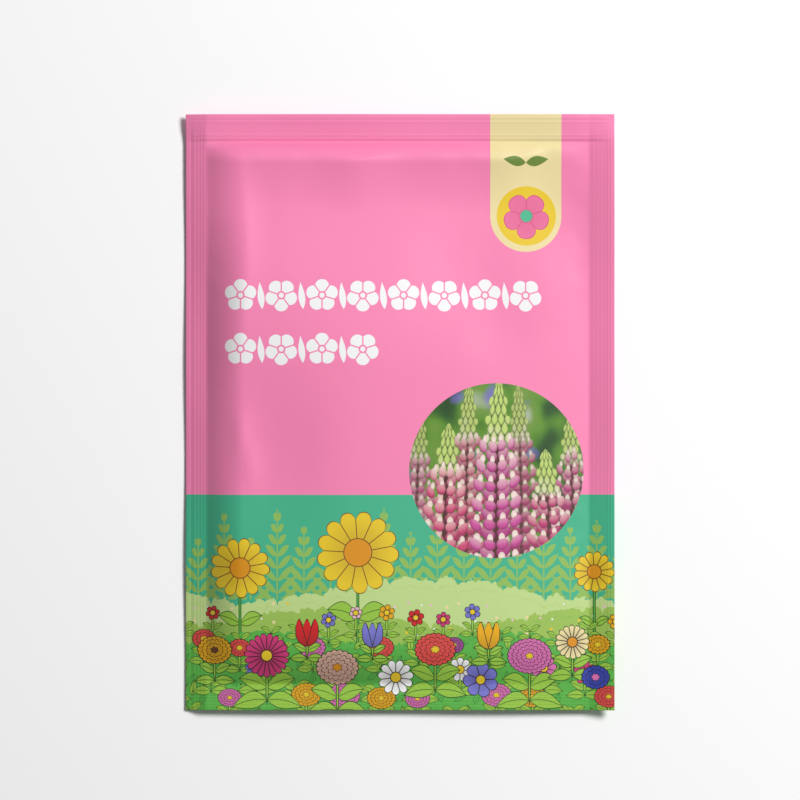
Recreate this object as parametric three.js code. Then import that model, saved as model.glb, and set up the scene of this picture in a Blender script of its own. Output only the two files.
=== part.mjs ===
// A filled flower-seed packet: two printed films welded together along all four edges, lying on its back.
// Millimetres, +Z up. +Y runs to the packet's top edge and +X to the right, as its printed front is read.
// The origin is under the middle of the packet, on the surface that it lies on.
import * as THREE from 'three';
import { mergeVertices } from 'three/addons/utils/BufferGeometryUtils.js';

const packetWidth = 100;
const packetHeight = 139;
const leftSealWidth = 4.7;
const rightSealWidth = 5.8;
const topSealWidth = 6.4;
const bottomSealWidth = 6;
const filmThickness = 0.25;

// The films are welded together at this level, and swell away from it between the seals.
const weldLevel = 2.4;
const frontSwell = 6.3;
const backSwell = weldLevel - filmThickness;

// How the front film leaves each seal: steeply over its near run, then gently over its far run.
// nearShare is the part of the swell that the near run makes, and a larger bend levels out sooner.
const frontEdges = {
  left: { nearShare: 0.74, nearRun: 8.4, nearBend: 1.75, farRun: 34, farBend: 1.5 },
  right: { nearShare: 0.1, nearRun: 20, nearBend: 1.3, farRun: 72, farBend: 1.5 },
  top: { nearShare: 0.55, nearRun: 4.6, nearBend: 1.7, farRun: 38, farBend: 2 },
  bottom: { nearShare: 0.6, nearRun: 8, nearBend: 1.6, farRun: 28, farBend: 1.8 },
};
// The upper left stands out more: what it adds to the left edge's share and run.
const leftShoulder = { middle: 34, halfHeight: 18, share: 0.22, run: 1 };

// Under the top seal a wavy fold drops, with two soft lobes, and comes back level further down.
const topFold = { level: 59.9, drop: 2.1, run: 9.2, foot: 50, end: 10, sideRun: 16 };
const foldWaves = [
  { rise: 0.8, length: 33.3, start: 0.6 },
  { rise: 0.4, length: 18.22, start: 2 },
];
const foldLobes = [
  { middle: -3, halfWidth: 3.6, run: 2.8 },
  { middle: 13, halfWidth: 3.2, run: 2.4 },
];
const backRun = 12;
const backBend = 2.2;

// How far the outer edge of each seal curls up, or down where it is negative, and its slow wave.
const sealCurl = { left: -1.7, right: 1.45, top: 0.8, bottom: 0.1 };
const curlBend = 1.1;
const curlWaveRise = 0.2;
const curlWaveLength = 47;
const curlWaveStep = 1.7;

// Soft hills and hollows of the front: middle x, y, half width, half height, and rise.
const softWaves = [
  [24, 18, 7, 9, -0.4],
  [-29, -12, 12, 18, -1.3],
  [-36.8, -5, 2.1, 5, 0.34],
  [-34.8, -12.5, 2.3, 5, 0.36],
];
const waveFadeRun = 6;
const waveFadeBend = 2;

const acrossCells = 26;
const upCells = 32;
const sealCells = 3;

// Round, flattened seeds with a small notch at the scar where they grew on the pod.
const seedCount = 24;
const seedLength = 4.8;
const seedWidth = 3.9;
const seedThickness = 2.8;
const notchDepth = 0.3;
const notchWidth = 0.8;
const seedClearance = 0.1;
const seedSpacing = 5.4;
const seedArea = { left: -30, right: 27, low: -50, high: 8 };
const seedRandomStart = 4289;

const filmColour = 0xfe8ebb;
const seedColour = 0x8a745c;

const inner = {
  left: -packetWidth / 2 + leftSealWidth,
  right: packetWidth / 2 - rightSealWidth,
  low: -packetHeight / 2 + bottomSealWidth,
  high: packetHeight / 2 - topSealWidth,
};

// 0 at the start of a run, rising fast and then levelling out to 1 at its end.
function rise(distance, run, bend) {
  const share = THREE.MathUtils.clamp(distance / run, 0, 1);
  return 1 - (1 - share) ** bend;
}

function riseFrom(edge, distance) {
  const near = rise(distance, edge.nearRun, edge.nearBend);
  const far = rise(distance, edge.farRun, edge.farBend);
  return edge.nearShare * near + (1 - edge.nearShare) * far;
}

// A bell of height 1, from its middle out.
function bell(distance, halfWidth) {
  return Math.exp(-((distance / halfWidth) ** 2));
}

function leftEdgeAt(y) {
  const near = bell(y - leftShoulder.middle, leftShoulder.halfHeight);
  const edge = { ...frontEdges.left };
  edge.nearShare += near * leftShoulder.share;
  edge.nearRun += near * leftShoulder.run;
  return edge;
}

function foldAt(x, y) {
  let top = topFold.level;
  for (const wave of foldWaves) {
    top += wave.rise * Math.sin((2 * Math.PI * x) / wave.length + wave.start);
  }
  let run = topFold.run;
  for (const lobe of foldLobes) {
    run += lobe.run * bell(x - lobe.middle, lobe.halfWidth);
  }
  const down = THREE.MathUtils.smoothstep(y, top - run, top);
  const level = THREE.MathUtils.smoothstep(y, topFold.end, topFold.foot);
  const sides = rise(x - inner.left, topFold.sideRun, 2) * rise(inner.right - x, topFold.sideRun, 2);
  return -topFold.drop * (level - down) * sides;
}

function riseAllRound(x, y, run, bend) {
  const across = rise(x - inner.left, run, bend) * rise(inner.right - x, run, bend);
  const up = rise(y - inner.low, run, bend) * rise(inner.high - y, run, bend);
  return across * up;
}

function wavesAt(x, y) {
  let height = 0;
  for (const [middleX, middleY, halfWidth, halfHeight, waveRise] of softWaves) {
    height += waveRise * bell(x - middleX, halfWidth) * bell(y - middleY, halfHeight);
  }
  return height * riseAllRound(x, y, waveFadeRun, waveFadeBend);
}

// The height where the two films meet, or would meet inside the swell.
function weldAt(x, y) {
  const outward = [
    [sealCurl.left, (inner.left - x) / leftSealWidth, y],
    [sealCurl.right, (x - inner.right) / rightSealWidth, y],
    [sealCurl.top, (y - inner.high) / topSealWidth, x],
    [sealCurl.bottom, (inner.low - y) / bottomSealWidth, x],
  ];
  let level = weldLevel;
  outward.forEach(([curl, share, along], index) => {
    const wave = curlWaveRise * Math.sin((2 * Math.PI * along) / curlWaveLength + curlWaveStep * index);
    level += rise(share, 1, curlBend) * (curl + wave);
  });
  return level;
}

function frontTopAt(x, y) {
  const across = riseFrom(leftEdgeAt(y), x - inner.left) * riseFrom(frontEdges.right, inner.right - x);
  const up = riseFrom(frontEdges.bottom, y - inner.low) * riseFrom(frontEdges.top, inner.high - y);
  return weldAt(x, y) + filmThickness + frontSwell * across * up + wavesAt(x, y) + foldAt(x, y);
}

function backTopAt(x, y) {
  return weldAt(x, y) - backSwell * riseAllRound(x, y, backRun, backBend);
}

// Grid lines from one cut edge to the other: a few cells across each seal, and closer cells near the seals.
function gridLines(lowEdge, lowSeal, highSeal, highEdge, cells) {
  const lines = [];
  for (let i = 0; i < sealCells; i += 1) {
    lines.push(THREE.MathUtils.lerp(lowEdge, lowSeal, i / sealCells));
  }
  for (let i = 0; i <= cells; i += 1) {
    const even = i / cells;
    const eased = even - Math.sin(2 * Math.PI * even) / (2 * Math.PI);
    const share = 0.45 * even + 0.55 * eased;
    lines.push(lowSeal + (highSeal - lowSeal) * share);
  }
  for (let i = 1; i <= sealCells; i += 1) {
    lines.push(THREE.MathUtils.lerp(highSeal, highEdge, i / sealCells));
  }
  return lines;
}

// A closed thin sheet: its top follows the height function, and its underside is the same grid set lower.
function sheetGeometry(topAt) {
  const columns = gridLines(-packetWidth / 2, inner.left, inner.right, packetWidth / 2, acrossCells);
  const rows = gridLines(-packetHeight / 2, inner.low, inner.high, packetHeight / 2, upCells);
  const positions = [];
  for (const drop of [0, filmThickness]) {
    for (const y of rows) {
      for (const x of columns) {
        positions.push(x, y, topAt(x, y) - drop);
      }
    }
  }
  const layer = columns.length * rows.length;
  const indexAt = (column, row) => row * columns.length + column;
  const faces = [];
  const addTriangle = (a, b, c) => {
    faces.push(a, b, c);
    faces.push(a + layer, c + layer, b + layer);
  };
  for (let row = 0; row + 1 < rows.length; row += 1) {
    for (let column = 0; column + 1 < columns.length; column += 1) {
      const a = indexAt(column, row);
      const b = indexAt(column + 1, row);
      const c = indexAt(column + 1, row + 1);
      const d = indexAt(column, row + 1);
      const sameSide = columns[column] + columns[column + 1] < 0 === rows[row] + rows[row + 1] < 0;
      if (sameSide) {
        addTriangle(a, b, c);
        addTriangle(a, c, d);
      } else {
        addTriangle(a, b, d);
        addTriangle(b, c, d);
      }
    }
  }
  const addRim = (a, b) => {
    faces.push(a, b + layer, b);
    faces.push(a, a + layer, b + layer);
  };
  const lastColumn = columns.length - 1;
  const lastRow = rows.length - 1;
  for (let column = 0; column < lastColumn; column += 1) {
    addRim(indexAt(column, 0), indexAt(column + 1, 0));
    addRim(indexAt(column + 1, lastRow), indexAt(column, lastRow));
  }
  for (let row = 0; row < lastRow; row += 1) {
    addRim(indexAt(lastColumn, row), indexAt(lastColumn, row + 1));
    addRim(indexAt(0, row + 1), indexAt(0, row));
  }
  const geometry = new THREE.BufferGeometry();
  geometry.setAttribute('position', new THREE.Float32BufferAttribute(positions, 3));
  geometry.setIndex(faces);
  geometry.computeVertexNormals();
  return geometry;
}

function seedGeometry() {
  const sphere = new THREE.SphereGeometry(1, 12, 7);
  sphere.deleteAttribute('normal');
  sphere.deleteAttribute('uv');
  const geometry = mergeVertices(sphere);
  const points = geometry.getAttribute('position');
  for (let i = 0; i < points.count; i += 1) {
    const x = (points.getX(i) * seedLength) / 2;
    const y = (points.getY(i) * seedWidth) / 2;
    const z = (points.getZ(i) * seedThickness) / 2;
    const notch = y > 0 ? notchDepth * Math.exp(-((x / notchWidth) ** 2)) : 0;
    points.setXYZ(i, x, y - notch, z);
  }
  geometry.computeVertexNormals();
  return geometry;
}

// Repeatable draws from 0 to 1.
function randomFrom(start) {
  let state = start;
  return () => {
    state = (Math.imul(state, 1664525) + 1013904223) >>> 0;
    return state / 2 ** 32;
  };
}

// Loose seeds lie flat on the back film, each clear of the ones laid before it.
function seedPlaces() {
  const random = randomFrom(seedRandomStart);
  const places = [];
  while (places.length < seedCount) {
    const x = THREE.MathUtils.lerp(seedArea.left, seedArea.right, random());
    const y = THREE.MathUtils.lerp(seedArea.low, seedArea.high, random());
    const turn = 2 * Math.PI * random();
    const clear = places.every((other) => Math.hypot(x - other.x, y - other.y) > seedSpacing);
    if (clear) {
      places.push({ x, y, turn });
    }
  }
  return places;
}

function makeMesh(name, geometry, colour, roughness) {
  const material = new THREE.MeshStandardMaterial({ color: colour, roughness, metalness: 0 });
  const mesh = new THREE.Mesh(geometry, material);
  mesh.name = name;
  return mesh;
}

const packet = new THREE.Group();
packet.add(makeMesh('front_film', sheetGeometry(frontTopAt), filmColour, 0.4));
packet.add(makeMesh('back_film', sheetGeometry(backTopAt), filmColour, 0.4));

seedPlaces().forEach((place, index) => {
  const name = `seed_${String(index + 1).padStart(2, '0')}`;
  const seed = makeMesh(name, seedGeometry(), seedColour, 0.55);
  seed.position.set(place.x, place.y, filmThickness + seedClearance + seedThickness / 2);
  seed.rotation.z = place.turn;
  packet.add(seed);
});

export default packet;
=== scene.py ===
import bpy, bmesh, inspect, math
from mathutils import Matrix, Vector


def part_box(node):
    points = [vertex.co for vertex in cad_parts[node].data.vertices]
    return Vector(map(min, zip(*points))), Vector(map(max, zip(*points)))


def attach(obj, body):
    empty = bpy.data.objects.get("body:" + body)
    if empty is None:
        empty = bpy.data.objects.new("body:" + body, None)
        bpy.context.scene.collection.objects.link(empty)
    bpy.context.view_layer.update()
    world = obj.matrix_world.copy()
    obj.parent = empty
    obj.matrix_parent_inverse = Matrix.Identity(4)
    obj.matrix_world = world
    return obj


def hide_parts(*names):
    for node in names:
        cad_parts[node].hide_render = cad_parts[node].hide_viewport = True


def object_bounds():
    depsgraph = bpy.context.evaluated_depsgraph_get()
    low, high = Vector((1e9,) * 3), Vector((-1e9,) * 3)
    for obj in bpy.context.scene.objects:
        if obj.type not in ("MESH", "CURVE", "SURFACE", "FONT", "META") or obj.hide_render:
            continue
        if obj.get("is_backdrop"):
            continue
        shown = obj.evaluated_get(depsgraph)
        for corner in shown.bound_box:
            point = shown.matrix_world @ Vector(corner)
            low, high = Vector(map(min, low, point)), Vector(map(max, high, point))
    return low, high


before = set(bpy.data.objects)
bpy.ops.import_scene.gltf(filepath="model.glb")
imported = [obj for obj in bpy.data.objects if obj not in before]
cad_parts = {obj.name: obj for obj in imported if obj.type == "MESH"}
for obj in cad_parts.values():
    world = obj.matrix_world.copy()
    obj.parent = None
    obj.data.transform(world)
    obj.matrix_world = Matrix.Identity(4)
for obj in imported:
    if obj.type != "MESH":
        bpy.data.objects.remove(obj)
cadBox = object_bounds()
mm = 0.001
scene = bpy.context.scene
print("frame loaded", [round(v / mm, 2) for v in cadBox[0]], [round(v / mm, 2) for v in cadBox[1]])


# the packet lies on its back, and the camera looks straight down on it (values in mm)
view = dict(lens=250, sensor=36, frameWidth=186.65, middle=(0.0, 2.85), level=2.4, clipStart=50)
cameraData = bpy.data.cameras.new("camera")
cameraData.lens = view["lens"]
cameraData.sensor_width = view["sensor"]
cameraData.clip_start = view["clipStart"] * mm
cameraHeight = view["level"] + view["frameWidth"] * view["lens"] / view["sensor"]
camera = bpy.data.objects.new("camera", cameraData)
camera.location = [v * mm for v in (*view["middle"], cameraHeight)]
scene.collection.objects.link(camera)
scene.camera = camera

# one soft light from the upper right (values in metres), and an even white all round
keyLight = dict(place=(0.66, 0.47, 0.96), size=0.45, energy=16.2, shine=0.07)
lightData = bpy.data.lights.new("keyLight", "AREA")
lightData.shape = "DISK"
lightData.size = keyLight["size"]
lightData.energy = keyLight["energy"]
lightData.specular_factor = keyLight["shine"]
lamp = bpy.data.objects.new("keyLight", lightData)
lamp.location = keyLight["place"]
lamp.rotation_mode = "QUATERNION"
lamp.rotation_quaternion = (-Vector(keyLight["place"])).to_track_quat("-Z", "Y")
scene.collection.objects.link(lamp)

studio = dict(colour=(1.0, 1.0, 1.0, 1), strength=0.20)
world = bpy.data.worlds.new("studio")
scene.world = world
world.use_nodes = True
background = world.node_tree.nodes["Background"]
background.inputs["Color"].default_value = studio["colour"]
background.inputs["Strength"].default_value = studio["strength"]
scene.view_settings.view_transform = "Standard"


def newObject(name, bm, smooth=False):
    for f in bm.faces:
        f.smooth = smooth
    mesh = bpy.data.meshes.new(name)
    bm.to_mesh(mesh)
    bm.free()
    made = bpy.data.objects.new(name, mesh)
    scene.collection.objects.link(made)
    return made


def newMaterial(name):
    material = bpy.data.materials.new(name)
    material.use_nodes = True
    return material, material.node_tree.nodes["Principled BSDF"]


# a plain floor, a hair under the packet's flat back so that no two faces share a level (values in mm)
floorSheet = dict(half=3000, under=0.02, colour=(0.97, 0.97, 0.97, 1), roughness=0.9)
bm = bmesh.new()
bmesh.ops.create_grid(bm, x_segments=1, y_segments=1, size=floorSheet["half"] * mm)
bmesh.ops.translate(bm, vec=(0, 0, -floorSheet["under"] * mm), verts=bm.verts[:])
floor = newObject("floor", bm)
floorPaper, floorShader = newMaterial("floorPaper")
floorShader.inputs["Base Color"].default_value = floorSheet["colour"]
floorShader.inputs["Roughness"].default_value = floorSheet["roughness"]
floor.data.materials.append(floorPaper)
floor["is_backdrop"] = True
print("camera, light and floor made")


# the two films, in mm: welded at one level in the seals, and swollen apart between them
sachet = dict(
    leftSeal=4.7, rightSeal=5.8, topSeal=6.4, bottomSeal=6.0, weld=2.4, wall=0.14,
    swell=6.3, backRun=12, backRound=2.2, sealCells=30, acrossCells=92, upCells=124, gather=0.5,
)
# the back swells down to where its outside lies level with the origin
backSwell = sachet["weld"] - sachet["wall"]
# how the front leaves each seal: softly, then steep over the near run and gently over the far run
edges = dict(
    left=dict(share=0.74, run=8.4, bend=1.75, farRun=34, farBend=1.5, soft=0.25),
    right=dict(share=0.1, run=20, bend=1.3, farRun=72, farBend=1.5, soft=0.1),
    top=dict(share=0.55, run=4.6, bend=1.7, farRun=38, farBend=2.0, soft=0.1),
    bottom=dict(share=0.6, run=8, bend=1.6, farRun=28, farBend=1.8, soft=0.3),
)
# the upper left stands out more: the middle and half height of that part, and what it adds there
shoulder = dict(middle=36, halfHeight=18, share=0.36, run=1.6)
# a wavy fold under the top seal, which comes back from its foot on; its waves are length, start and share
fold = dict(
    level=60.4, wave=0.8, waves=((5.3, 0.6, 1.0), (2.9, 2.0, 0.5)), drop=2.6, run=13.0, bend=1.9, soft=0.6,
    foot=50.0, end=10.0, sideRun=16, sideBend=2,
)
# a groove where the top seal ends: first and last distance from the cut edge, depth, fade to the sides
groove = dict(first=5.5, last=7.3, depth=0.2, sideRun=8, sideBend=2)
# how far each seal's outer edge curls up (or down), with a slow wave along it, and less at the upper corners
curl = dict(
    left=-1.7, right=1.45, top=0.8, bottom=0.1, bend=1.1, waveRise=0.2, waveLength=47, waveStep=1.7,
    cornerShare=0.4, sideStart=1.0, sideRun=6.5, topRun=9.0, topBend=1.5,
)
# soft hills and hollows: middle x, y, half width, half height, rise
softWaves = [
    (24, 18, 7, 9, -0.4), (13, 34, 9, 13, -0.35), (33, 34, 9, 13, 1.0),
    (-29, -12, 12, 18, -1.3), (-36.8, -5, 2.1, 5, 0.34), (-34.8, -12.5, 2.3, 5, 0.36),
]
waveFade = dict(run=6, bend=2)
# ribs that the hot jaws press into each seal: first and last distance from the cut edge, pitch, height
ribs = dict(
    left=[(0.8, 1.6, 0.8, -0.07), (1.6, 4.5, 0.8, 0.045)],
    right=[(0.55, 1.85, 0.65, 0.06), (1.85, 5.6, 0.85, 0.02)],
    top=[(0.35, 2.2, 1.0, 0.07), (4.4, 6.3, 0.95, 0.07), (2.2, 4.4, 0.8, 0.015)],
    bottom=[(0.4, 3.9, 0.75, 0.06)],
)
# at the upper corners the top ribs run on, and the side ribs fade in below them
corner = dict(topStart=0.9, topRun=1.2, sideStart=2.2, sideRun=3.4, bend=1.5)
# small puckers that run in from the seals, wandering and swelling along each
pucker = dict(rise=0.045, run=5.5, pitch=7.3, wander=1.3, drift=19.0, swing=11.3, starts=(0.0, 2.1, 4.4, 5.6))

low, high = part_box("front_film")
halfWidth = (high[0] - low[0]) / 2 / mm
halfHeight = (high[1] - low[1]) / 2 / mm
innerLeft = -halfWidth + sachet["leftSeal"]
innerRight = halfWidth - sachet["rightSeal"]
innerLow = -halfHeight + sachet["bottomSeal"]
innerHigh = halfHeight - sachet["topSeal"]


def rise(distance, run, bend):
    # from 0 to 1 along the run, steepest at its start
    share = min(max(distance / run, 0), 1)
    return 1 - (1 - share) ** bend


def blend(distance, run):
    # a soft step from 0 to 1 along the run
    share = min(max(distance / run, 0), 1)
    return share * share * (3 - 2 * share)


def eased(distance, soft):
    # a distance that starts slowly, for a slope with no crease at its foot
    return distance * distance / (distance + soft) if distance > 0 else 0


def riseFrom(edge, distance):
    distance = eased(distance, edge["soft"])
    near = rise(distance, edge["run"], edge["bend"])
    far = rise(distance, edge["farRun"], edge["farBend"])
    return edge["share"] * near + (1 - edge["share"]) * far


def leftEdge(y):
    near = math.exp(-((y - shoulder["middle"]) / shoulder["halfHeight"]) ** 2)
    edge = dict(edges["left"])
    edge["share"] += near * shoulder["share"]
    edge["run"] += near * shoulder["run"]
    return edge


def foldAt(x, y):
    waves = sum(share * math.sin(x / length + start) for length, start, share in fold["waves"])
    top = fold["level"] + fold["wave"] * waves
    down = rise(eased(top - y, fold["soft"]), fold["run"], fold["bend"])
    share = down - blend(fold["foot"] - y, fold["foot"] - fold["end"])
    fromLeft = rise(x - innerLeft, fold["sideRun"], fold["sideBend"])
    fromRight = rise(innerRight - x, fold["sideRun"], fold["sideBend"])
    return -fold["drop"] * share * fromLeft * fromRight


def riseAllRound(x, y, run, bend):
    across = rise(x - innerLeft, run, bend) * rise(innerRight - x, run, bend)
    return across * rise(y - innerLow, run, bend) * rise(innerHigh - y, run, bend)


def wavesAt(x, y):
    total = 0
    for midX, midY, wide, tall, lift in softWaves:
        total += lift * math.exp(-((x - midX) / wide) ** 2 - ((y - midY) / tall) ** 2)
    return total * riseAllRound(x, y, waveFade["run"], waveFade["bend"])


def puckersAt(x, y):
    seals = ((x - innerLeft, y), (innerRight - x, y), (y - innerLow, x), (innerHigh - y, x))
    total = 0
    for (depth, along), start in zip(seals, pucker["starts"]):
        if 0 < depth < pucker["run"]:
            fade = math.sin(math.pi * depth / pucker["run"]) ** 2
            wander = pucker["wander"] * math.sin(along / pucker["drift"] + start)
            strength = 0.5 + 0.5 * math.sin(along / pucker["swing"] + 2 * start)
            total += fade * strength * math.sin(2 * math.pi * along / pucker["pitch"] + start + wander)
    return pucker["rise"] * total


def weldAt(x, y):
    level = sachet["weld"]
    sides = blend(halfHeight - y - curl["sideStart"], curl["sideRun"])
    sides = curl["cornerShare"] + (1 - curl["cornerShare"]) * sides
    top = rise(halfWidth - abs(x), curl["topRun"], curl["topBend"])
    outward = (
        ("left", sides, (innerLeft - x) / sachet["leftSeal"], y),
        ("right", sides, (x - innerRight) / sachet["rightSeal"], y),
        ("top", top, (y - innerHigh) / sachet["topSeal"], x),
        ("bottom", 1, (innerLow - y) / sachet["bottomSeal"], x),
    )
    for i, (side, part, share, along) in enumerate(outward):
        if share > 0:
            turn = 2 * math.pi * along / curl["waveLength"] + curl["waveStep"] * i
            level += part * rise(share, 1, curl["bend"]) * (curl[side] + curl["waveRise"] * math.sin(turn))
    depth = (halfHeight - y - groove["first"]) / (groove["last"] - groove["first"])
    if 0 < depth < 1:
        fade = rise(halfWidth - abs(x), groove["sideRun"], groove["sideBend"])
        level -= groove["depth"] * (0.5 - 0.5 * math.cos(2 * math.pi * depth)) * fade
    return level


def ribsAt(x, y):
    side = rise(halfHeight - y - corner["sideStart"], corner["sideRun"], corner["bend"])
    top = rise(halfWidth - abs(x) - corner["topStart"], corner["topRun"], corner["bend"])
    seals = (
        (halfWidth + x, "left", side), (halfWidth - x, "right", side),
        (halfHeight - y, "top", top), (halfHeight + y, "bottom", 1),
    )
    lift = 0
    for depth, name, share in seals:
        for first, last, pitch, height in ribs[name]:
            if first < depth < last:
                lift += share * height * (0.5 - 0.5 * math.cos(2 * math.pi * (depth - first) / pitch))
    return lift


def frontAt(x, y):
    across = riseFrom(leftEdge(y), x - innerLeft) * riseFrom(edges["right"], innerRight - x)
    up = riseFrom(edges["bottom"], y - innerLow) * riseFrom(edges["top"], innerHigh - y)
    swollen = sachet["swell"] * across * up + wavesAt(x, y) + foldAt(x, y) + puckersAt(x, y)
    return weldAt(x, y) + sachet["wall"] + swollen


def frontOutside(x, y):
    return frontAt(x, y) + ribsAt(x, y)


def frontInside(x, y):
    return frontAt(x, y) - sachet["wall"]


def backInside(x, y):
    return weldAt(x, y) - backSwell * riseAllRound(x, y, sachet["backRun"], sachet["backRound"])


def backOutside(x, y):
    return backInside(x, y) - sachet["wall"] - ribsAt(x, y)


def gridStops(half, lowSeal, highSeal, cells):
    # even steps in the seals, and steps between them that gather towards the seals
    sealCells = sachet["sealCells"]
    stops = [-half + (lowSeal + half) * i / sealCells for i in range(sealCells)]
    for i in range(cells):
        even = i / cells
        nearer = sachet["gather"] * math.sin(2 * math.pi * even) / (2 * math.pi)
        stops.append(lowSeal + (highSeal - lowSeal) * (even - nearer))
    return stops + [highSeal + (half - highSeal) * i / sealCells for i in range(sealCells + 1)]


def filmPiece(name, topAt, bottomAt):
    # a fine flat grid lifted to the upper face, and a copy of it lowered to the under face
    columns = gridStops(halfWidth, innerLeft, innerRight, sachet["acrossCells"])
    levels = gridStops(halfHeight, innerLow, innerHigh, sachet["upCells"])
    across, up = len(columns) - 1, len(levels) - 1
    bm = bmesh.new()
    bmesh.ops.create_grid(bm, x_segments=across, y_segments=up, size=0.5)
    for v in bm.verts:
        x = columns[round((v.co.x + 0.5) * across)]
        y = levels[round((v.co.y + 0.5) * up)]
        v.co = (x, y, topAt(x, y))
    under = bmesh.ops.extrude_face_region(bm, geom=bm.faces[:])["geom"]
    for v in under:
        if isinstance(v, bmesh.types.BMVert):
            v.co.z = bottomAt(v.co.x, v.co.y)
    bmesh.ops.recalc_face_normals(bm, faces=bm.faces[:])
    bmesh.ops.scale(bm, vec=(mm, mm, mm), verts=bm.verts[:])
    return newObject(name, bm, smooth=True)


frontFilm = filmPiece("frontFilm", frontOutside, frontInside)
backFilm = filmPiece("backFilm", backInside, backOutside)
print("films made", len(frontFilm.data.polygons), "faces each")


# round, flattened seeds with a small notch at the scar, loose on the back film (values in mm)
seed = dict(
    count=24, long=4.8, wide=3.9, thick=2.8, under=0.35, smooth=4, notch=0.3, notchHalf=0.8,
    scar=0.12, scarHalf=0.42, scarFlat=0.7, left=-30, right=27, low=-50, high=8, spacing=5.4,
)
# a plain repeatable draw: each number is the last one times a factor, plus a step, within the span
draw = dict(start=4289, factor=1664525, step=1013904223, span=2 ** 32)


def seedPlaces():
    # x, y and turn of each seed, with no two closer than the spacing
    state = draw["start"]
    places = []
    while len(places) < seed["count"]:
        draws = []
        for i in range(3):
            state = (state * draw["factor"] + draw["step"]) % draw["span"]
            draws.append(state / draw["span"])
        x = seed["left"] + (seed["right"] - seed["left"]) * draws[0]
        y = seed["low"] + (seed["high"] - seed["low"]) * draws[1]
        if all(math.hypot(x - p[0], y - p[1]) > seed["spacing"] for p in places):
            places.append((x, y, 2 * math.pi * draws[2]))
    return places


def seedPiece(name, x, y, turn):
    bm = bmesh.new()
    bmesh.ops.create_icosphere(bm, subdivisions=seed["smooth"], radius=1)
    for v in bm.verts:
        along, out, up = v.co.x * seed["long"] / 2, v.co.y * seed["wide"] / 2, v.co.z * seed["thick"] / 2
        if v.co.y > 0:
            out -= seed["notch"] * math.exp(-(along / seed["notchHalf"]) ** 2)
            mark = (along / seed["scarHalf"]) ** 2 + (up / (seed["scarFlat"] * seed["scarHalf"])) ** 2
            out -= seed["scar"] * math.exp(-mark * mark) * v.co.y
        v.co = (along, out, up)
    lift = Matrix.Translation((x, y, seed["under"] + seed["thick"] / 2)) @ Matrix.Rotation(turn, 4, "Z")
    bmesh.ops.transform(bm, matrix=Matrix.Scale(mm, 4) @ lift, verts=bm.verts[:])
    return newObject(name, bm, smooth=True)


seeds = [seedPiece(f"seed{i + 1:02d}", *place) for i, place in enumerate(seedPlaces())]
print("seeds made", len(seeds))


def mathOf(operation):
    # a call that adds a Math node of one kind
    return lambda *values: calc(operation, *values)


class Wire:
    # a value in a shader tree, so that sums on it can be written as plain formulas
    def __init__(self, tree, socket):
        self.tree = tree
        self.socket = socket

    def __rsub__(self, other):
        return calc("SUBTRACT", other, self)

    def __neg__(self):
        return calc("MULTIPLY", self, -1)

    __add__ = __radd__ = mathOf("ADD")
    __sub__ = mathOf("SUBTRACT")
    __mul__ = __rmul__ = mathOf("MULTIPLY")
    __truediv__ = mathOf("DIVIDE")
    __pow__ = mathOf("POWER")


def feed(socket, value):
    if isinstance(value, Wire):
        value.tree.links.new(value.socket, socket)
    else:
        socket.default_value = inks[value] if isinstance(value, str) else value


def addNode(tree, kind, *values, **settings):
    node = tree.nodes.new("ShaderNode" + kind)
    for key, value in settings.items():
        setattr(node, key, value)
    for socket, value in zip(node.inputs, values):
        feed(socket, value)
    return node


def calc(operation, *values):
    tree = next(v.tree for v in values if isinstance(v, Wire))
    return Wire(tree, addNode(tree, "Math", *values, operation=operation).outputs[0])


size, fraction, whole = mathOf("ABSOLUTE"), mathOf("FRACT"), mathOf("FLOOR")
lesser, greater, below = mathOf("MINIMUM"), mathOf("MAXIMUM"), mathOf("LESS_THAN")
sine, cosine, angleOf = mathOf("SINE"), mathOf("COSINE"), mathOf("ARCTAN2")
squareRoot, timesPlus = mathOf("SQRT"), mathOf("MULTIPLY_ADD")


def within(x):
    # held between 0 and 1
    return Wire(x.tree, addNode(x.tree, "Clamp", x).outputs[0])


def reach(x, y):
    # the straight distance to a place that is x across and y up
    place = Wire(x.tree, addNode(x.tree, "CombineXYZ", x, y).outputs[0])
    return Wire(x.tree, addNode(x.tree, "VectorMath", place, operation="LENGTH").outputs["Value"])


def fromMiddle(x):
    # how far a value is from the middle of its step, 0 there and 1 at the step's ends
    return size(fraction(x) - 0.5) * 2


def inside(distance, softness=0.07):
    # 1 where the distance in mm is below zero
    return within(timesPlus(distance, -1 / softness, 0.5))


def softInside(distance, blur):
    return within(0.5 - distance / blur)


def paint(share, under, over):
    tree = next(v.tree for v in (share, under, over) if isinstance(v, Wire))
    node = addNode(tree, "Mix", data_type="RGBA")
    for socket, value in zip((node.inputs[0], node.inputs[6], node.inputs[7]), (share, under, over)):
        feed(socket, value)
    return Wire(tree, node.outputs[2])


def lay(distance, under, over):
    # one colour over another where the distance in mm is below zero
    return paint(inside(distance), under, over)


def pick(share, colours, smooth=False):
    # a colour for each share from 0 to 1, in bands or running into each other
    node = addNode(share.tree, "ValToRGB", share)
    stops = node.color_ramp
    stops.interpolation = "LINEAR" if smooth else "CONSTANT"
    while len(stops.elements) < len(colours):
        stops.elements.new(0.5)
    for i, colour in enumerate(colours):
        stops.elements[i].position = i / (len(colours) - 1 if smooth else len(colours))
        stops.elements[i].color = colour
    return Wire(share.tree, node.outputs[0])


# the factors of a usual repeatable draw in a shader, and the step between rows of cells
shuffle = dict(number=12.9898, which=78.233, spread=437.585, rowStep=131)


def chance(number, which):
    # a repeatable draw from 0 to 1
    turn = timesPlus(number, shuffle["number"], which * shuffle["which"])
    return fraction(sine(turn) * shuffle["spread"])


def cellNumber(column, row, lot):
    return timesPlus(row, shuffle["rowStep"], column + lot)


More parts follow.
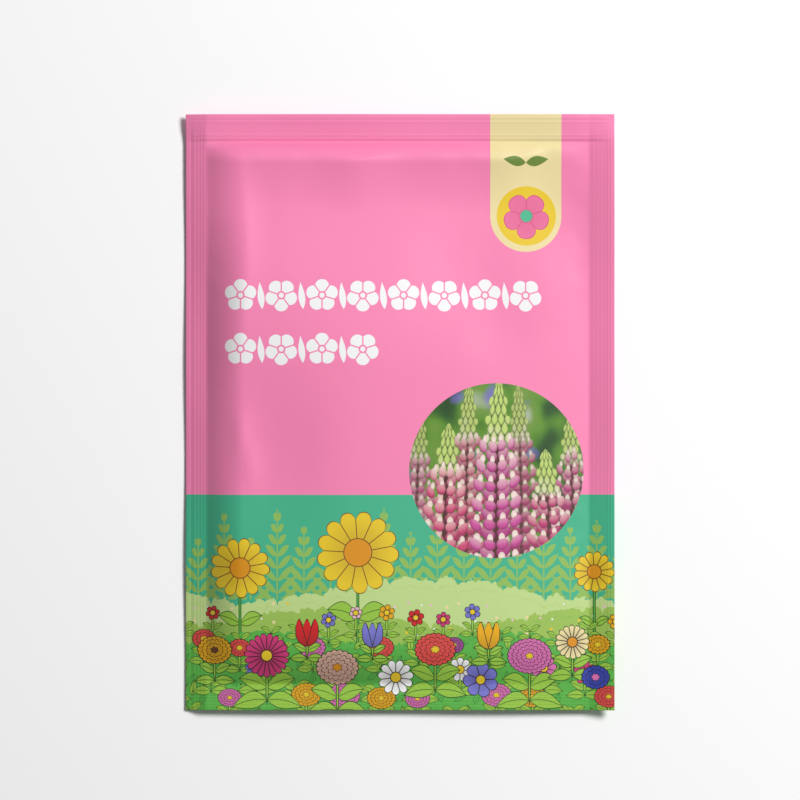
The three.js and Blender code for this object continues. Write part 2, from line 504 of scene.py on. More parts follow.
def strayIn(cell, form, drawn, pitch):
    # a place in its cell in mm, from a middle that the draw moves
    return (fraction(cell) - form["place"] - form["move"] * drawn) * pitch


def strayInBoth(across, up, lot, form, pitch):
    # the number of a cell, and the place in it from a middle that is moved both ways
    number = cellNumber(whole(across), whole(up), lot)
    dx = strayIn(across, form, chance(number, 0.1), pitch)
    return number, dx, strayIn(up, form, chance(number, 0.2), pitch)


def ownPlace(tree):
    return Wire(tree, addNode(tree, "TexCoord").outputs["Object"])


def cloud(tree, scale, detail=2.0):
    # soft unevenness, with its scale in waves per mm
    node = addNode(tree, "TexNoise", ownPlace(tree))
    feed(node.inputs["Scale"], scale / mm)
    feed(node.inputs["Detail"], detail)
    return Wire(tree, node.outputs[0])


leafForm = dict(fullness=0.8, point=0.08)


def blade(along, length, widest):
    # half the width of a leaf at a place along it, and less than none past its ends
    share = within(along / length)
    return widest * sine(share ** leafForm["fullness"] * math.pi) - leafForm["point"]


inkStrength = 0.9


def ink(r, g, b):
    # a print colour, from screen values to the linear light that a shader takes
    linear = [v / 255 / 12.92 if v <= 10 else ((v / 255 + 0.055) / 1.055) ** 2.4 for v in (r, g, b)]
    return tuple(inkStrength * v for v in linear) + (1,)


inks = dict(
    pink=ink(255, 140, 187), teal=ink(72, 186, 144), cream=ink(243, 226, 168), yellow=ink(240, 206, 46),
    amber=ink(226, 150, 28), gold=ink(244, 182, 26), white=ink(252, 252, 252), palePink=ink(246, 196, 214),
    paleGreen=ink(199, 225, 146), midGreen=ink(163, 200, 92), green=ink(96, 186, 78), leaf=ink(158, 206, 74),
    deepGreen=ink(52, 132, 60), leafLine=ink(38, 84, 34), spray=ink(150, 194, 96), olive=ink(112, 140, 62),
    warmPink=ink(238, 116, 162), deepPink=ink(214, 74, 126), magenta=ink(214, 62, 124), red=ink(218, 40, 44),
    rose=ink(232, 122, 190), violet=ink(126, 126, 214), blue=ink(62, 78, 190), blush=ink(226, 182, 162),
    coral=ink(243, 86, 80), plum=ink(170, 84, 160), brown=ink(112, 62, 30), line=ink(44, 34, 30),
)


def printShape(shape):
    # makes a node group of a shape, and gives a call that adds it to a tree;
    # the shape takes numbers up to "under", and colours from there on
    labels = list(inspect.signature(shape).parameters)
    tree = bpy.data.node_groups.new(shape.__name__, "ShaderNodeTree")
    for i, label in enumerate(labels):
        kind = "NodeSocketFloat" if i < labels.index("under") else "NodeSocketColor"
        tree.interface.new_socket(label, in_out="INPUT", socket_type=kind)
    tree.interface.new_socket("print", in_out="OUTPUT", socket_type="NodeSocketColor")
    given = tree.nodes.new("NodeGroupInput")
    wires = {label: Wire(tree, given.outputs[label]) for label in labels}
    feed(tree.nodes.new("NodeGroupOutput").inputs[0], shape(**wires))

    def stamp(under, x, y, **values):
        node = addNode(x.tree, "Group")
        node.node_tree = tree
        for label, value in dict(values, under=under, x=x, y=y).items():
            feed(node.inputs[label], value)
        return Wire(x.tree, node.outputs[0])
    return stamp


openForm = dict(tipBend=2.6, shade=0.42, shadeFall=0.5)


@printShape
def openBloom(x, y, radius, petals, turn, notch, eye, pen, under, petal, centre, line):
    # one ring of petals round an eye
    length = reach(x, y)
    angle = angleOf(y, x) + turn
    fromAxis = fromMiddle(angle * petals * (0.5 / math.pi))
    edge = radius * (1 - notch * fromAxis ** openForm["tipBend"])
    outside = length - edge
    gap = length * (1 - fromAxis) * math.pi / petals
    shade = within(openForm["shade"] - openForm["shadeFall"] * length / radius)
    colour = paint(shade, petal, line)
    colour = lay(lesser(-outside - pen, gap - pen * 0.5), colour, line)
    fromEye = length - eye
    colour = lay(fromEye, colour, centre)
    colour = lay(size(fromEye) - pen * 0.5, colour, line)
    return lay(outside, under, colour)


# petals in the first ring and more in each next, the bow of their tips and of the rim, shade, centre
fullForm = dict(first=6, more=5, tip=0.95, tipBow=0.42, rimBow=0.06, shade=0.32, shadeFall=0.34, centre=0.8)


@printShape
def fullBloom(x, y, radius, rings, turn, squash, pen, under, petal, centre, line):
    # rings of short petals, seen a little from the side
    length = reach(x, y / squash)
    angle = (angleOf(y / squash, x) + turn) * (0.5 / math.pi)
    ring = rings * length / radius
    number = whole(ring)
    fromAxis = fromMiddle(angle * (number * fullForm["more"] + fullForm["first"]) + number * 0.5)
    bow = fromAxis * fromAxis
    tip = size(fraction(ring) - (fullForm["tip"] - fullForm["tipBow"] * bow)) * radius / rings
    outside = length - radius * (1 - fullForm["rimBow"] * bow)
    colour = paint(within(fullForm["shade"] - fullForm["shadeFall"] * fraction(ring)), petal, line)
    colour = lay(ring - fullForm["centre"], colour, centre)
    colour = lay(lesser(tip - pen * 0.5, -outside - pen), colour, line)
    return lay(outside, under, colour)


# in shares of the radius: the bowl, the lip with its points, the seams between petals, and shade
cup = dict(
    halfWidth=0.8, depth=1.05, lip=0.4, lipWave=0.55, lipTurns=1.5, seam=0.22, seamSlope=0.26,
    shade=0.1, shadeFall=0.28, seamPen=0.4,
)


@printShape
def cupBloom(x, y, radius, pen, under, petal, line):
    # an upright cup with three pointed petals
    across = x / radius
    up = y / radius
    bowl = reach(across / cup["halfWidth"], lesser(up, 0) * cup["depth"]) - 1
    points = size(cosine(across * (cup["lipTurns"] * math.pi / cup["halfWidth"])))
    top = up - (cup["lip"] + cup["lipWave"] * points)
    outside = greater(bowl, top) * radius
    seam = size(size(across) - (cup["seam"] + cup["seamSlope"] * up)) * radius
    shade = within(cup["shade"] - cup["shadeFall"] * up)
    colour = paint(shade, petal, line)
    colour = lay(lesser(-outside - pen, seam - pen * cup["seamPen"]), colour, line)
    return lay(outside, under, colour)


# each pair of leaves: place up the stem, slant and size; then the leaves' arch, width and veins, and the stem
leafy = dict(
    pairs=((0.88, 0.2, 1.0), (0.62, 0.62, 0.8)), arch=0.05, width=0.26, midPen=0.4,
    veins=0.8, veinSlant=0.6, veinPitch=1.1, veinHalf=0.03, veinShade=0.3, half=0.34, taper=0.4,
)


@printShape
def leafyStem(x, y, tall, leafLength, bare, pen, under, stem, leaf, line):
    # a stem down from a little under y = 0 to its foot, with two pairs of arching leaves
    across = size(x)
    colour = under
    for place, slant, share in leafy["pairs"]:
        above = y + place * tall - slant * across + leafy["arch"] * across * across
        outside = size(above) - blade(across, share * leafLength, leafy["width"] * leafLength)
        veins = fraction(across * leafy["veins"] - size(above) * leafy["veinSlant"]) - 0.5
        vein = size(veins) * leafy["veinPitch"] - leafy["veinHalf"]
        rim = inside(lesser(-outside - pen, size(above) - pen * leafy["midPen"]))
        shade = greater(rim, leafy["veinShade"] * inside(vein))
        colour = lay(outside, colour, paint(shade, leaf, line))
    trunk = greater(across - leafy["half"] * within((y + tall) * leafy["taper"]), y + bare)
    return lay(trunk, colour, lay(-trunk - pen, stem, line))


# where in its cell a leaf may lie, how it may turn, and its size as shares of the cell
strewn = dict(place=0.35, move=0.3, turn=0.4, turnMore=2.4, length=0.74, width=0.16, midPen=0.4)


@printShape
def leafScatter(x, y, pitch, lot, pen, under, leaf, line):
    # small leaves strewn one to a cell, each turned and moved by chance
    up = y / pitch
    number, dx, dy = strayInBoth(x / pitch + whole(up) * 0.5, up, lot, strewn, pitch)
    turn = chance(number, 0.3) * strewn["turnMore"] + strewn["turn"]
    cosTurn = cosine(turn)
    sinTurn = sine(turn)
    along = dx * cosTurn + dy * sinTurn
    side = size(dy * cosTurn - dx * sinTurn)
    half = strewn["length"] / 2
    outside = side - blade(along + half * pitch, strewn["length"] * pitch, strewn["width"] * pitch)
    colour = lay(lesser(-outside - pen, side - pen * strewn["midPen"]), leaf, line)
    return lay(outside, under, colour)


# the sway that makes bushes uneven in width, the small lobes on each, and the line under their tops
bank = dict(
    aside=200, sway=1.7, swayPitch=0.47, lobeEnd=1.02, small=0.29, smallRise=0.26, smallEnd=1.05,
    echo=1.1, echoHalf=0.1, echoShade=0.35,
)


@printShape
def hedge(x, y, base, roll, rollLength, start, bump, pitch, rough, under, bush, line):
    # a rolling bank of leafy bushes, filled down to the foot of the print
    sway = sine(x * bank["swayPitch"] + start)
    across = x + bank["aside"] + bank["sway"] * sway
    lobe = (fraction(across / pitch) - 0.5) * 2
    small = (fraction(across / (pitch * bank["small"])) - 0.5) * 2
    top = bump * squareRoot(bank["lobeEnd"] - lobe * lobe)
    top = top + bank["smallRise"] * bump * squareRoot(bank["smallEnd"] - small * small)
    level = base + roll * sine(x / rollLength + start)
    above = y - level - top - rough
    colour = lay(above, under, bush)
    echo = size(above + 0.5 * bump + bank["echo"]) - bank["echoHalf"]
    return paint(bank["echoShade"] * inside(echo), colour, line)


dots = dict(place=0.25, move=0.5, radius=0.2, grow=0.2, colours=("white", "palePink", "yellow", "cream"))


@printShape
def confetti(x, y, pitch, lot, share, under):
    # a few small dots of petal, one to a cell at most
    number, dx, dy = strayInBoth(x / pitch, y / pitch, lot, dots, pitch)
    grow = chance(number, 0.3)
    outside = reach(dx, dy) - (dots["radius"] + dots["grow"] * grow)
    shown = inside(outside) * below(chance(number, 0.4), share)
    return paint(shown, under, pick(grow, [inks[name] for name in dots["colours"]]))


# pitch and slope of the leaflets, their length and half width, and half the stem's width, in mm
leaflets = dict(pitch=2.9, slope=0.9, longest=5.6, taper=1.1, shortest=0.1, half=1.05, stem=0.16, endSlope=3)


@printShape
def leafSpray(x, y, base, tall, under, leaf):
    # an upright spray of paired leaflets that get shorter to its tip
    up = (y - base) / tall
    across = size(x)
    slant = fraction((y - leaflets["slope"] * across) / leaflets["pitch"]) - 0.5
    length = leaflets["longest"] * within(leaflets["taper"] - up) + leaflets["shortest"]
    leaflet = size(slant) * leaflets["pitch"] - blade(across, length, leaflets["half"])
    limits = greater(greater(across - length, up - 1), -up)
    outside = greater(lesser(leaflet, across - leaflets["stem"]), limits * leaflets["endSlope"])
    return lay(outside, under, leaf)


# in cells of one petal: the spike's taper, and how a front petal strays, droops, fans out and ends
whorl = dict(
    taper=0.42, stagger=0.26, stray=0.06, droop=0.05, low=0.3, fan=0.4, tall=0.56, tallMore=0.05,
    half=0.91, halfMore=0.08, end=0.999, last=0.45, blur=0.06,
)
# the pale petal behind it: fan, stray, size and middle, and its rim and dark foot
behind = dict(
    fan=0.3, stray=0.1, half=0.44, halfMore=0.12, middle=0.42, tall=0.46,
    rim=0.75, rimShare=0.4, foot=0.3, footFall=0.9, footShare=0.45,
)
# what pales a front petal, its crease, and what darkens it
tone = dict(
    tint=0.28, rise=0.26, top=0.4, least=0.06, creaseMove=0.25, creaseHalf=0.09, creaseTop=0.2,
    dark=0.2, darkRim=1.3, rim=0.42, darkRise=0.45, darkTint=0.3, share=0.66,
)


@printShape
def whorls(x, y, tall, wide, columns, pitch, shift, lot, soft, under, petal, tip, line):
    # rings of plump petals up to a height, each with a pale petal behind it
    up = within(y / tall)
    half = wide * (1 - whorl["taper"] * up ** 3)
    side = x / half
    cell = (side + 1) * columns * 0.5
    column = whole(cell)
    moved = shift + whorl["stagger"] * chance(column + lot, 0.5)
    place = y / pitch + moved
    row = whole(place)
    number = cellNumber(column, row, lot)
    aside = chance(number, 0.1) - 0.5
    lift = chance(number, 0.2) - 0.5
    tint = chance(number, 0.3)
    petalX = (fraction(cell) - 0.5 - whorl["stray"] * aside) * 2
    petalY = (fraction(place) - 0.5 - whorl["stray"] * lift - whorl["droop"] * side * side) * 2
    height = whorl["tall"] + whorl["tallMore"] * tint
    bodyY = (petalY + whorl["low"] - whorl["fan"] * petalX * side) / height
    body = reach(petalX / (whorl["half"] + whorl["halfMore"] * lift), bodyY) - 1
    paleX = petalX + behind["fan"] * side - behind["stray"] * aside
    paleX = paleX / (behind["half"] + behind["halfMore"] * tint)
    pale = reach(paleX, (petalY - behind["middle"]) / behind["tall"]) - 1
    blur = soft * 2 / pitch + whorl["blur"]
    kept = below(size(side), whorl["end"]) * below((row + whorl["last"] - moved) * pitch, tall)
    kept = kept * calc("GREATER_THAN", y, 0)
    back = paint(within(behind["rim"] + pale) * behind["rimShare"], tip, petal)
    back = paint(within(behind["foot"] - behind["footFall"] * petalY) * behind["footShare"], back, line)
    colour = paint(kept * softInside(pale, blur), under, back)
    palest = tone["tint"] * tint + tone["rise"] * bodyY + tone["top"] * up ** 4
    front = paint(within(palest - tone["least"]), petal, tip)
    crease = within(1 - size(petalX + tone["creaseMove"] * aside) / tone["creaseHalf"])
    crease = crease * within(tone["creaseTop"] - bodyY)
    dark = tone["dark"] + tone["darkRim"] * (body + tone["rim"])
    dark = within(dark - tone["darkRise"] * bodyY - tone["darkTint"] * tint)
    front = paint(greater(dark, crease) * tone["share"], front, line)
    return paint(kept * softInside(body, blur), colour, front)


# how the tip narrows, its columns of buds, a bud's length and half width in rows, and the ends
buds = dict(
    full=1.02, narrow=0.7, columns=2, aside=20, length=1.45, half=1.04, blur=0.14, edge=0.1, footSlope=0.2,
    shown=0.9, shownSlope=9, core=0.7,
)
# what pales a bud, and what darkens the lower buds and the points of the upper ones
budTone = dict(
    pale=0.25, paleTint=0.6, paleFall=1.7, rim=1.7, dark=1, fall=0.5, tint=0.3, share=0.75,
    upper=0.5, upperShare=0.5,
)


@printShape
def budTip(x, y, tall, wide, pitch, lot, soft, under, bud, tip, line):
    # plump pointed buds that narrow to a tip, each row's points over the feet of the next
    up = within(y / tall)
    half = wide * (buds["full"] - up * up) ** buds["narrow"]
    side = x / half
    place = y / pitch
    row = whole(place)
    along = fraction(place)
    cell = side * buds["columns"] + 0.5 * row + buds["aside"]
    column = whole(cell)
    tint = chance(cellNumber(column, row, lot), 0.1)
    fromAxis = fromMiddle(cell)
    foot = fromAxis - blade(along, buds["length"], buds["half"])
    point = 1 - fromAxis - blade(along + 1, buds["length"], buds["half"])
    blur = soft * 2 / pitch + buds["blur"]
    edge = soft + buds["edge"]
    ends = softInside(greater(-buds["footSlope"] * y, y - tall), edge)
    middle = size(column + 0.5 - 0.5 * row - buds["aside"]) * 0.5
    shown = within((buds["shown"] - middle) * buds["shownSlope"]) * ends
    core = softInside((size(side) - buds["core"]) * half, edge) * ends
    green = paint(within(budTone["pale"] + budTone["paleTint"] * tint - budTone["paleFall"] * up), bud, tip)
    dark = budTone["dark"] + budTone["rim"] * foot - budTone["fall"] * along + budTone["tint"] * tint
    lower = paint(within(dark) * budTone["share"], green, line)
    colour = paint(core, under, line)
    colour = paint(shown * softInside(foot, blur), colour, lower)
    upper = paint(within(budTone["upper"] + budTone["rim"] * point) * budTone["upperShare"], green, line)
    return paint(core * softInside(point, blur), colour, upper)


# in shares of the height: where the blooms end and the buds start; in shares of the half width: the rest
spike = dict(
    bloomTop=0.74, budFoot=0.69, budTall=0.31, pitch=0.7, stem=0.1, inner=0.6, budWide=0.52, budPitch=0.34,
    innerDark=0.34, innerPale=0.3, edge=0.1, frontLot=9,
)


@printShape
def flowerSpike(x, y, tall, wide, bend, lot, soft, under, petal, tip, bud, stem, line, shade):
    # an upright spike: whorls of petals on a dark stem, with buds at its tip
    up = within(y / tall)
    across = x - bend * up * up
    pitch = spike["pitch"] * wide
    bloomTop = spike["bloomTop"] * tall
    trunk = greater(greater(size(across) - spike["stem"] * wide, -y), y - bloomTop)
    colour = paint(softInside(trunk, soft + spike["edge"]), under, stem)
    colour = whorls(
        colour, across, y, tall=bloomTop, wide=spike["inner"] * wide, columns=2, pitch=pitch,
        shift=0.5, lot=lot, soft=soft, petal=paint(spike["innerDark"], petal, line),
        tip=paint(spike["innerPale"], tip, petal), line=line,
    )
    colour = budTip(
        colour, across, y - spike["budFoot"] * tall, tall=spike["budTall"] * tall,
        wide=spike["budWide"] * wide, pitch=spike["budPitch"] * wide, lot=lot, soft=soft,
        bud=bud, tip=tip, line=shade,
    )
    return whorls(
        colour, across, y, tall=bloomTop, wide=wide, columns=4, pitch=pitch,
        shift=0, lot=lot + spike["frontLot"], soft=soft, petal=petal, tip=tip, line=line,
    )


print("print shapes made")


# the front print, in mm on the packet; rough is the unevenness of the hedges' tops
field = dict(split=-19.2, upper="pink", lower="teal")
rough = dict(scale=0.75, detail=3.0, height=2.4)
bands = [
    dict(base=-43.2, roll=2.6, rollLength=13.5, start=1.1, bump=1.9, pitch=8.6,
         bush="paleGreen", line="midGreen"),
    dict(base=-49.2, roll=2.0, rollLength=10.2, start=3.4, bump=1.5, pitch=6.7,
         bush="midGreen", line="green"),
    dict(base=-53.8, roll=1.5, rollLength=8.4, start=5.2, bump=1.2, pitch=4.9,
         bush="green", line="deepGreen"),
]
# two rows of leaf sprays over the teal, each between the other's: start, height, swing in height
sprays = dict(pitch=12.4, base=-43.5, wave=2.3, rows=((0.3, 15.0, 2.0), (0.8, 19.5, 2.2)))
petalDots = dict(pitch=3.1, share=0.5, down=44, lot=5)
leafGround = dict(down=53.5, layers=(
    dict(pitch=4.6, lot=11, pen=0.13, leaf="green", line="deepGreen"),
    dict(pitch=5.6, lot=23, pen=0.14, leaf="leaf", line="leafLine"),
))
# yellow blooms that stand tall: x, y, radius
tallPlaces = [(-9.8, -32.6, 9.6), (-37.2, -36.2, 7.0), (45.3, -37.2, 4.8)]
tallBloom = dict(petals=13, turn=0.3, notch=0.2, pen=0.2, petal="yellow", centre="amber", line="brown")
tallStem = dict(bare=0.0, pen=0.2, stem="green", leaf="leaf", line="leafLine")
tallForm = dict(foot=-57.0, leafLength=0.95, eye=0.34)
bloomRows = [
    dict(kind=openBloom, form=dict(petals=6, notch=0.3, eye=0.64), level=-47.6, pitch=6.7, start=7,
         radius=2.0, lift=2.6, share=0.5, colours=("rose", "magenta", "red", "violet", "gold", "palePink")),
    dict(kind=fullBloom, form=dict(rings=3, squash=0.8), level=-53.8, pitch=8.3, start=31,
         radius=3.1, lift=2.4, share=0.55, colours=("coral", "rose", "gold", "violet", "plum", "magenta")),
    dict(kind=openBloom, form=dict(petals=9, notch=0.26, eye=0.96), level=-60.6, pitch=9.7, start=53,
         radius=3.2, lift=2.6, share=0.6, colours=("magenta", "white", "violet", "rose", "gold", "coral")),
    dict(kind=fullBloom, form=dict(rings=4, squash=0.76), level=-66.7, pitch=8.9, start=79,
         radius=3.6, lift=1.8, share=0.8, colours=("gold", "rose", "blue", "coral", "plum", "rose")),
]
# what all rows share: the place in a cell, the blooms' least size and growth, and the stems
rowForm = dict(
    place=0.44, move=0.12, least=0.8, grow=0.3, none=0.05, turns=6.3, leafLength=0.48, bare=3.8,
)
rowBloom = dict(pen=0.18, centre="yellow", line="line")
lightStem = dict(stem="leaf", leaf="leaf", line="leafLine")
rowStem = dict(lightStem, tall=6.0, pen=0.14)
# larger blooms in front: kind, x, y, radius, petals, length of the leaves, and what else the kind takes
largeBlooms = [
    (fullBloom, -43.2, -55.4, 4.2, "gold", 5.0, dict(rings=4, squash=0.8, centre="brown")),
    (openBloom, -31.0, -56.6, 5.3, "magenta", 8.4, dict(petals=19, notch=0.16, eye=1.3)),
    (cupBloom, -21.6, -51.2, 3.4, "red", 4.4, {}),
    (fullBloom, -14.6, -59.4, 5.1, "blush", 8.0, dict(rings=4, squash=0.84, centre="amber")),
    (cupBloom, -6.4, -51.8, 3.1, "violet", 4.2, {}),
    (openBloom, -1.0, -61.8, 4.3, "white", 0, dict(petals=11, notch=0.3, eye=1.25)),
    (fullBloom, 8.2, -55.2, 4.9, "coral", 7.6, dict(rings=4, squash=0.8)),
    (openBloom, 18.8, -62.4, 4.2, "violet", 0, dict(petals=7, notch=0.24, eye=1.1)),
    (cupBloom, 20.6, -52.0, 3.4, "gold", 4.6, {}),
    (fullBloom, 30.2, -56.8, 5.3, "rose", 8.2, dict(rings=5, squash=0.8)),
    (openBloom, 40.2, -53.6, 4.1, "cream", 6.0, dict(petals=16, notch=0.2, eye=1.2, centre="amber")),
    (fullBloom, 45.6, -61.8, 3.4, "blue", 0, dict(rings=3, squash=0.84, centre="rose")),
]
largeForm = dict(leafShare=0.8, pen=0.22, stem=dict(lightStem, bare=0.0, pen=0.2))


def fieldsOf(y):
    return lay(y - field["split"], field["upper"], field["lower"])


def spraysOf(colour, x, y):
    for start, tall, swing in sprays["rows"]:
        cell = x / sprays["pitch"] + start
        height = tall + swing * sine(whole(cell) * sprays["wave"] + start)
        across = (fraction(cell) - 0.5) * sprays["pitch"]
        colour = leafSpray(colour, across, y, base=sprays["base"], tall=height, leaf="spray")
    return colour


def unevenness(tree):
    return (cloud(tree, rough["scale"], rough["detail"]) - 0.5) * rough["height"]


def bloomRow(colour, x, y, row):
    # a bloom to a cell, each a little off its cell's middle, with some left out
    cell = x / row["pitch"] + row["start"]
    number = whole(cell)
    turn = chance(number, 0.1)
    dx = strayIn(cell, rowForm, turn, row["pitch"])
    dy = y - row["level"] - row["lift"] * (chance(number, 0.2) - 0.5)
    shown = below(chance(number, 0.5), row["share"])
    leafLength, bare = rowForm["leafLength"] * row["pitch"], rowForm["bare"] - rowForm["bare"] * shown
    colour = leafyStem(colour, dx, dy, leafLength=leafLength, bare=bare, **rowStem)
    petal = pick(chance(number, 0.4), [inks[name] for name in row["colours"]])
    radius = rowForm["least"] + rowForm["grow"] * chance(number, 0.3)
    radius = radius * row["radius"] * shown - rowForm["none"]
    turn = turn * rowForm["turns"]
    return row["kind"](colour, dx, dy, radius=radius, turn=turn, petal=petal, **rowBloom, **row["form"])


def tallBloomsOf(colour, x, y):
    for midX, midY, radius in tallPlaces:
        dx, dy = x - midX, y - midY
        tall, leafLength = midY - tallForm["foot"], tallForm["leafLength"] * radius
        colour = leafyStem(colour, dx, dy, tall=tall, leafLength=leafLength, **tallStem)
        colour = openBloom(colour, dx, dy, radius=radius, eye=tallForm["eye"] * radius, **tallBloom)
    return colour


def largeBloomsOf(colour, x, y):
    for kind, midX, midY, radius, petal, leafLength, extra in largeBlooms:
        dx, dy = x - midX, y - midY
        if leafLength:
            tall = radius + largeForm["leafShare"] * leafLength
            colour = leafyStem(colour, dx, dy, tall=tall, leafLength=leafLength, **largeForm["stem"])
        if kind is not cupBloom:
            extra = {"turn": midX, "centre": "yellow", **extra}
        colour = kind(colour, dx, dy, radius=radius, pen=largeForm["pen"], petal=petal, line="line", **extra)
    return colour


def meadow(colour, x, y):
    # banks of hedge with blooms between them, from the furthest to the nearest
    uneven = unevenness(x.tree)
    colour = spraysOf(colour, x, y)
    for band in bands[:2]:
        colour = hedge(colour, x, y, rough=uneven, **band)
    share = petalDots["share"] * inside(y + petalDots["down"])
    colour = confetti(colour, x, y, pitch=petalDots["pitch"], lot=petalDots["lot"], share=share)
    colour = tallBloomsOf(colour, x, y)
    colour = hedge(colour, x, y, rough=uneven, **bands[2])
    leaves = colour
    for layer in leafGround["layers"]:
        leaves = leafScatter(leaves, x, y, **layer)
    colour = lay(y + leafGround["down"], colour, leaves)
    for row in bloomRows:
        colour = bloomRow(colour, x, y, row)
    return largeBloomsOf(colour, x, y)


# the round picture: its place and size, and its blurred leaves with a few violet patches
picture = dict(x=22.47, y=-13.6, radius=20.35, lotStep=7)
leafBlur = dict(
    scale=0.11, detail=1.0, contrast=1.9, least=0.55,
    colours=(ink(22, 48, 26), ink(48, 94, 34), ink(96, 148, 42), ink(118, 154, 64), ink(186, 196, 178)),
)
patches = dict(scale=0.16, detail=0.0, contrast=7, least=4.5, share=0.8, colour=ink(122, 112, 196))
# its spikes, furthest first: x and foot from its middle, height, half width, bend, blur, dimness, petals
spikes = [
    (-18.8, -21, 34, 4.6, 1.2, 0.4, 0.22, (206, 84, 146)),
    (5.8, -21, 41, 4.7, -0.8, 0.35, 0.2, (190, 56, 120)),
    (17.8, -22, 35, 5.0, -0.7, 0.28, 0.12, (196, 62, 132)),
    (-7.2, -22, 42, 5.0, 0.9, 0.25, 0.12, (200, 68, 112)),
    (12.4, -29, 34, 5.8, -1.0, 0.14, 0.03, (204, 62, 124)),
    (-12.2, -27, 38, 6.0, 1.1, 0.12, 0.02, (216, 76, 122)),
    (-0.2, -27, 48, 6.5, 0.8, 0.08, 0.0, (210, 82, 160)),
]
# colours that all spikes share, and what the dimmer ones fade to
spikeInks = dict(
    tip=(250, 236, 222), bud=(200, 222, 122), stem=(92, 46, 48), line=(118, 28, 74), shade=(74, 98, 40),
)
haze = (96, 100, 66)


def pictureOf(x, y):
    # a plain garden picture of pink flower spikes over blurred leaves
    dx, dy = x - picture["x"], y - picture["y"]
    leaves = cloud(x.tree, leafBlur["scale"], leafBlur["detail"]) * leafBlur["contrast"] - leafBlur["least"]
    colour = pick(leaves, leafBlur["colours"], smooth=True)
    patch = cloud(x.tree, patches["scale"], patches["detail"]) * patches["contrast"] - patches["least"]
    colour = paint(within(patch) * patches["share"], colour, patches["colour"])
    for i, (foot, base, tall, wide, bend, soft, dim, petal) in enumerate(spikes):
        shades = dict(spikeInks, petal=petal)
        shades = {k: ink(*[c + dim * (d - c) for c, d in zip(v, haze)]) for k, v in shades.items()}
        form = dict(tall=tall, wide=wide, bend=bend, soft=soft, lot=picture["lotStep"] * i)
        colour = flowerSpike(colour, dx - foot, dy - base, **form, **shades)
    return colour, reach(dx, dy) - picture["radius"]


# a cream ribbon down from the top edge, with a bloom on a yellow disc at its foot, and two leaves
ribbon = dict(x=29.35, halfWidth=8.3, foot=45.7)
disc = dict(x=29.47, y=45.78, radius=6.93)
discBloom = dict(
    radius=5.4, petals=5, turn=-math.pi / 2, notch=0.3, eye=1.5, pen=0.18, petal="warmPink", centre="teal",
    line="deepPink",
)
leafPair = dict(y=58.2, slant=0.16, length=5.4, half=1.25)
# rows of blossoms with upright leaves between; rows gives each row's middle and its blossoms
garland = dict(
    left=-41.8, pitch=9.475, petals=5, turn=0.25, turnStep=0.5, bloom=3.75, notch=0.27, tipBend=2.2,
    slit=0.16, eye=0.6, ring=1.0, leafTall=6.6, leafHalf=0.86, leafSlant=0.1, leafEnd=0.4,
    rows=((27.2, 8), (14.7, 4)),
)


def ribbonOf(colour, x, y):
    dx = x - ribbon["x"]
    dy = y - ribbon["foot"]
    colour = lay(reach(dx, lesser(dy, 0)) - ribbon["halfWidth"], colour, "cream")
    discX, discY = x - disc["x"], y - disc["y"]
    colour = lay(reach(discX, discY) - disc["radius"], colour, "yellow")
    colour = openBloom(colour, discX, discY, **discBloom)
    along = y - leafPair["y"]
    side = size(dx)
    leaves = size(along - leafPair["slant"] * side) - blade(side, leafPair["length"], leafPair["half"])
    return lay(leaves, colour, "olive")


def garlandOf(colour, x, y, middle, count):
    cell = (x - garland["left"]) / garland["pitch"]
    up = y - middle
    across = (fraction(cell) - 0.5) * garland["pitch"]
    length = reach(across, up)
    angle = angleOf(up, across) * (garland["petals"] / (2 * math.pi))
    fromAxis = fromMiddle(angle + whole(cell) * garland["turnStep"] + garland["turn"])
    petals = length - garland["bloom"] * (1 - garland["notch"] * fromAxis ** garland["tipBend"])
    slit = garland["slit"] - length * (1 - fromAxis) * (math.pi / garland["petals"])
    bloom = greater(greater(petals, slit), garland["ring"] - length)
    pastEnd = size(cell - count / 2) - count / 2
    bloom = greater(lesser(bloom, length - garland["eye"]), pastEnd)
    leafX = (fraction(cell + 0.5) - 0.5) * garland["pitch"]
    leafHalf = blade(up + garland["leafTall"] / 2, garland["leafTall"], garland["leafHalf"])
    leaf = size(leafX + garland["leafSlant"] * up) - leafHalf
    leaf = greater(leaf, pastEnd + garland["leafEnd"])
    return lay(lesser(bloom, leaf), colour, "white")


def frontDesign(x, y):
    colour = meadow(fieldsOf(y), x, y)
    garden, edge = pictureOf(x, y)
    colour = lay(edge, colour, garden)
    colour = ribbonOf(colour, x, y)
    for middle, count in garland["rows"]:
        colour = garlandOf(colour, x, y, middle, count)
    return colour


# the back print: the same fields and hedges, and a bare panel with a thin line inside its rim
panel = dict(x=0.0, y=11.0, halfWidth=38.0, halfHeight=41.0, corner=4.0, inset=2.0, border=0.6)


def backDesign(x, y):
    colour = spraysOf(fieldsOf(y), x, y)
    uneven = unevenness(x.tree)
    for band in bands:
        colour = hedge(colour, x, y, rough=uneven, **band)
    for row in bloomRows[1:3]:
        colour = bloomRow(colour, x, y, row)
    dx = size(x - panel["x"]) - panel["halfWidth"] + panel["corner"]
    dy = size(y - panel["y"]) - panel["halfHeight"] + panel["corner"]
    outside = reach(greater(dx, 0), greater(dy, 0)) - panel["corner"]
    colour = lay(outside, colour, "cream")
    return lay(size(outside + panel["inset"]) - panel["border"] / 2, colour, "teal")


def addRelief(tree, shader, height):
    # a fine relief on a surface, with its height in mm
    bump = addNode(tree, "Bump")
    feed(bump.inputs["Height"], height)
    feed(bump.inputs["Distance"], mm)
    feed(shader.inputs["Normal"], Wire(tree, bump.outputs[0]))


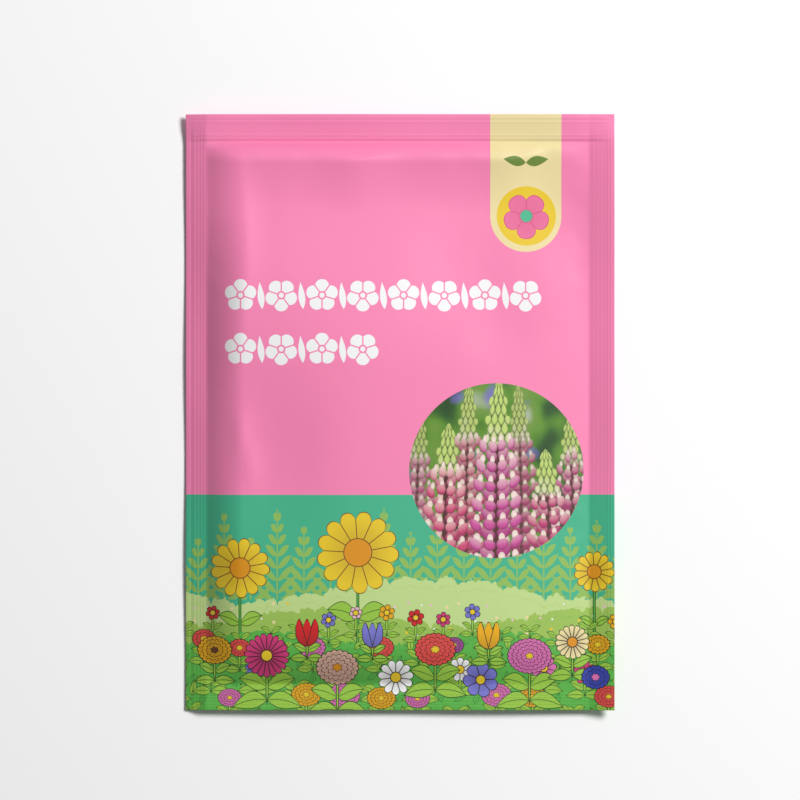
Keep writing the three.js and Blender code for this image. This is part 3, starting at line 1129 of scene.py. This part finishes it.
# the satin film's gloss and its soft and fine unevenness (scales in waves per mm, heights in mm)
grain = dict(
    roughness=0.46, uneven=0.12, softScale=0.16, fineScale=3.0, softHeight=0.05, fineHeight=0.004, shine=0.35,
)


def filmMaterial(name, design):
    material, shader = newMaterial(name)
    tree = material.node_tree
    place = addNode(tree, "VectorMath", ownPlace(tree), operation="SCALE")
    feed(place.inputs["Scale"], 1 / mm)
    parts = addNode(tree, "SeparateXYZ", Wire(tree, place.outputs["Vector"])).outputs
    x, y = Wire(tree, parts["X"]), Wire(tree, parts["Y"])
    feed(shader.inputs["Base Color"], design(x, y))
    soft = cloud(tree, grain["softScale"])
    fine = cloud(tree, grain["fineScale"])
    feed(shader.inputs["Roughness"], grain["roughness"] + (soft - 0.5) * grain["uneven"])
    addRelief(tree, shader, soft * grain["softHeight"] + fine * grain["fineHeight"])
    feed(shader.inputs["Specular IOR Level"], grain["shine"])
    return material


frontFilm.data.materials.append(filmMaterial("frontPrint", frontDesign))
print("front print made")
backFilm.data.materials.append(filmMaterial("backPrint", backDesign))
print("back print made")


# the seeds' coat: pale and dark, mottled and flecked (scales in waves per mm, heights in mm)
husk = dict(
    pale=ink(176, 150, 116), dark=ink(70, 52, 40), mottle=1.1, fleck=3.2, grain=9.0, detail=2.0,
    mottleDetail=3.0, mottleShade=2.2, fleckShade=2.6, shade=0.45, roughness=0.42, uneven=0.2,
    grainHeight=0.03, fleckHeight=0.02,
)
seedCoat, coatShader = newMaterial("seedCoat")
coatTree = seedCoat.node_tree
mottle = cloud(coatTree, husk["mottle"], husk["mottleDetail"])
fleck = cloud(coatTree, husk["fleck"], husk["detail"])
coatGrain = cloud(coatTree, husk["grain"], husk["detail"])
coatShade = (mottle - 0.5) * husk["mottleShade"] + (fleck - 0.5) * husk["fleckShade"] + husk["shade"]
feed(coatShader.inputs["Base Color"], paint(within(coatShade), husk["pale"], husk["dark"]))
feed(coatShader.inputs["Roughness"], husk["roughness"] + (mottle - 0.5) * husk["uneven"])
addRelief(coatTree, coatShader, coatGrain * husk["grainHeight"] + fleck * husk["fleckHeight"])
for i, piece in enumerate(seeds):
    piece.data.materials.append(seedCoat)
    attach(piece, "root")
    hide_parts(f"seed_{i + 1:02d}")
print("seeds coated")

for piece, node, slot in ((frontFilm, "front_film", "front_print"), (backFilm, "back_film", "back_print")):
    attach(piece, "root")
    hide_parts(node)

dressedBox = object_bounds()
